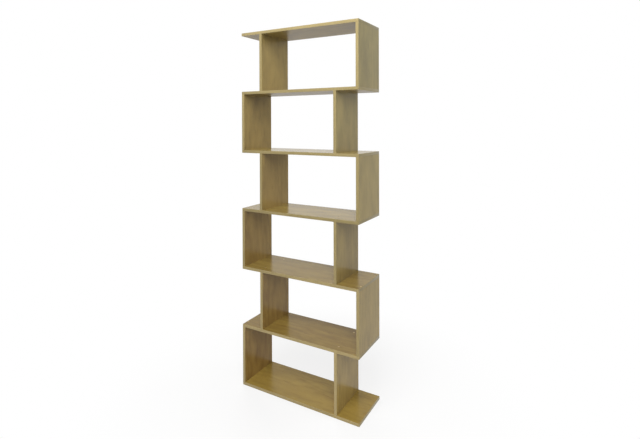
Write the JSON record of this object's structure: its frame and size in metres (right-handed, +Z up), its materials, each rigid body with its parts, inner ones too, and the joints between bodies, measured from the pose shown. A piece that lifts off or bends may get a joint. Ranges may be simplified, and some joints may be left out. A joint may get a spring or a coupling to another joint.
{
  "type": "zigzag bookcase",
  "caption": "Tall open bookcase: full-width boards on upright panels that step left and right from tier to tier, in pale oak-look edged chipboard, with angle brackets for the wall.",
  "frame": {"origin": "middle of the bottom face, on the floor", "axes": "+Z up, +X to the right along the width as seen from the front, +Y from the front to the back"},
  "size_m": [0.7, 0.24, 1.93],
  "materials": {
    "oak_face": "satin oak-look melamine on chipboard",
    "oak_edging": "satin oak-look edging strip",
    "screw_zinc": "zinc-plated steel",
    "bracket_zinc": "zinc-plated sheet steel"
  },
  "bodies": {
    "root": {"bottom_board": "oak_face", "shelf_1": "oak_face", "shelf_2": "oak_face", "shelf_3": "oak_face", "shelf_4": "oak_face", "shelf_5": "oak_face", "top_board": "oak_face", "tier_1_left_panel": "oak_face", "tier_1_right_panel": "oak_face", "tier_2_left_panel": "oak_face", "tier_2_right_panel": "oak_face", "tier_3_left_panel": "oak_face", "tier_3_right_panel": "oak_face", "tier_4_left_panel": "oak_face", "tier_4_right_panel": "oak_face", "tier_5_left_panel": "oak_face", "tier_5_right_panel": "oak_face", "tier_6_left_panel": "oak_face", "tier_6_right_panel": "oak_face", "bottom_board_edging": "oak_edging", "shelf_1_edging": "oak_edging", "shelf_2_edging": "oak_edging", "shelf_3_edging": "oak_edging", "shelf_4_edging": "oak_edging", "shelf_5_edging": "oak_edging", "top_board_edging": "oak_edging", "tier_1_left_panel_edging": "oak_edging", "tier_1_right_panel_edging": "oak_edging", "tier_2_left_panel_edging": "oak_edging", "tier_2_right_panel_edging": "oak_edging", "tier_3_left_panel_edging": "oak_edging", "tier_3_right_panel_edging": "oak_edging", "tier_4_left_panel_edging": "oak_edging", "tier_4_right_panel_edging": "oak_edging", "tier_5_left_panel_edging": "oak_edging", "tier_5_right_panel_edging": "oak_edging", "tier_6_left_panel_edging": "oak_edging", "tier_6_right_panel_edging": "oak_edging", "bottom_board_screws": "screw_zinc", "shelf_1_screws": "screw_zinc", "shelf_2_screws": "screw_zinc", "shelf_3_screws": "screw_zinc", "shelf_4_screws": "screw_zinc", "shelf_5_screws": "screw_zinc", "top_board_screws": "screw_zinc", "wall_bracket_left": "bracket_zinc", "wall_bracket_right": "bracket_zinc", "wall_bracket_screws": "screw_zinc"}
  },
  "joints": []
}
